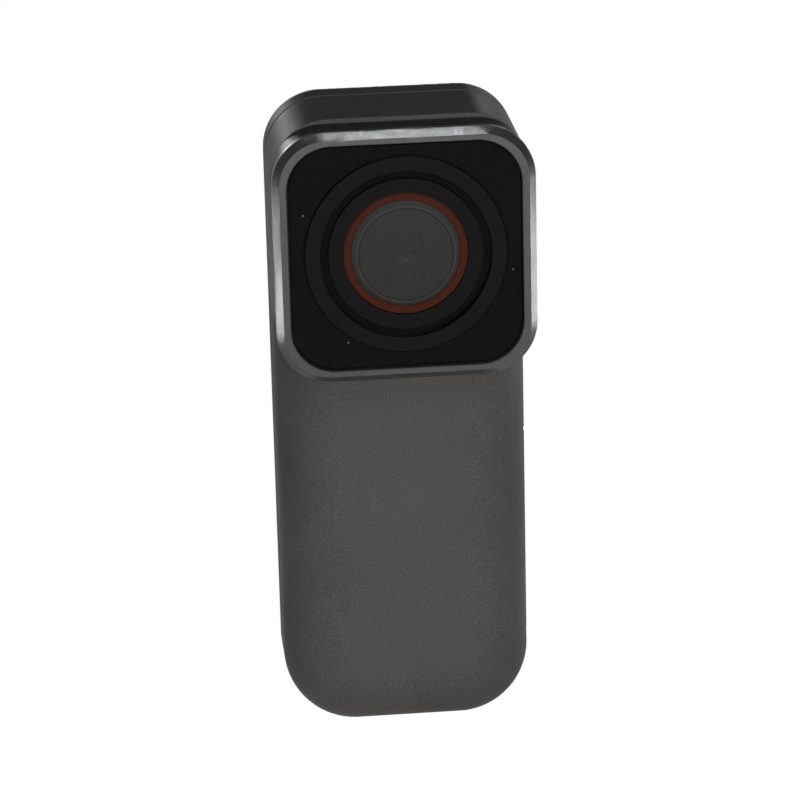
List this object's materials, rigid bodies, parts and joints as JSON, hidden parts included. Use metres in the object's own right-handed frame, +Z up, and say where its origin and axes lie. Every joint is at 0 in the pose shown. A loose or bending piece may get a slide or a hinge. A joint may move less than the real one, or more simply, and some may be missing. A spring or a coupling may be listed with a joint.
{
  "type": "body camera",
  "caption": "Slim upright body camera with a square lens head, round window, side buttons, hinged port door and a sprung clip on its back",
  "frame": {"origin": "middle of the foot, on the surface it stands on", "axes": "+Z up along the body, +Y from the lens face to the clip, +X to the right seen from the front"},
  "size_m": [0.0304, 0.0292, 0.0772],
  "materials": {
    "housing_plastic": "fine-grained matte",
    "door_plastic": "matte",
    "head_plastic": "satin",
    "bezel_metal": "dark satin anodised",
    "panel_plastic": "black, low sheen",
    "trim_plastic": "satin",
    "accent_metal": "red-brown satin",
    "window_glass": "satin grey coating",
    "lens_glass": "polished",
    "filter_glass": "polished",
    "barrel_metal": "black anodised",
    "inner_plastic": "matte",
    "circuit_board": "solder mask",
    "chip_resin": "moulded",
    "shield_steel": "plain",
    "fastener_steel": "plain",
    "contact_brass": "gold plated",
    "battery_foil": "foil pouch",
    "tape": "matte",
    "foam": "foam",
    "ribbon": "film",
    "seal_rubber": "matte",
    "button_plastic": "satin",
    "switch_plastic": "plain",
    "light_plastic": "clear milky",
    "clip_plastic": "glass-filled, fine-grained"
  },
  "bodies": {
    "camera_body": {"front_shell": "housing_plastic", "rear_cover": "housing_plastic", "shell_gasket": "seal_rubber", "shell_screws": "fastener_steel", "lens_bezel": "bezel_metal", "head_collar": "head_plastic", "lens_carrier": "head_plastic", "face_panel": "panel_plastic", "lens_trim_ring": "trim_plastic", "accent_ring": "accent_metal", "lens_window": "window_glass", "window_seal": "seal_rubber", "lens_barrel": "barrel_metal", "front_lens": "lens_glass", "middle_lens": "lens_glass", "lens_spacer": "barrel_metal", "rear_lens": "lens_glass", "lens_retainer": "barrel_metal", "lens_holder": "inner_plastic", "ir_filter": "filter_glass", "image_sensor": "chip_resin", "sensor_board": "circuit_board", "sensor_connector": "inner_plastic", "main_board": "circuit_board", "board_screws": "fastener_steel", "processor_shield": "shield_steel", "memory_chip": "chip_resin", "wireless_module": "shield_steel", "vibration_motor": "shield_steel", "microphone": "shield_steel", "mic_boot": "seal_rubber", "battery": "battery_foil", "battery_tape": "tape", "battery_foam": "foam", "battery_connector": "inner_plastic", "battery_lead": "ribbon", "speaker": "inner_plastic", "speaker_contacts": "contact_brass", "usb_c_port": "shield_steel", "card_slot": "shield_steel", "side_board": "circuit_board", "power_switch": "switch_plastic", "record_switch": "switch_plastic", "status_light": "light_plastic", "port_door_pin": "fastener_steel", "clip_bracket": "fastener_steel", "clip_screws": "fastener_steel", "clip_hinge_pin": "fastener_steel", "clip_spring": "fastener_steel"},
    "power_button": {"power_button": "button_plastic"},
    "record_button": {"record_button": "button_plastic"},
    "port_door": {"port_door": "door_plastic", "door_seal": "seal_rubber"},
    "clip": {"clip_arm": "clip_plastic", "clip_pad": "seal_rubber"}
  },
  "joints": [
    {"name": "power_button_press", "type": "slide", "parent": "camera_body", "child": "power_button", "axis": [-1, 0, 0], "range_m": [0, 0.00035], "stiffness_N_per_m": 300, "springref_m": -0.0005},
    {"name": "record_button_press", "type": "slide", "parent": "camera_body", "child": "record_button", "axis": [-1, 0, 0], "range_m": [0, 0.00035], "stiffness_N_per_m": 300, "springref_m": -0.0005},
    {"name": "port_door_hinge", "type": "hinge", "parent": "camera_body", "child": "port_door", "pos_m": [0.01385, -0.00052, 0.035], "axis": [0, -1, 0], "range_deg": [0, 90]},
    {"name": "clip_hinge", "type": "hinge", "parent": "camera_body", "child": "clip", "pos_m": [0, 0.01142, 0.0575], "axis": [1, 0, 0], "range_deg": [0, 16], "stiffness_Nm_per_rad": 0.08, "springref_deg": -28.65, "deforming": ["clip_spring"]}
  ]
}
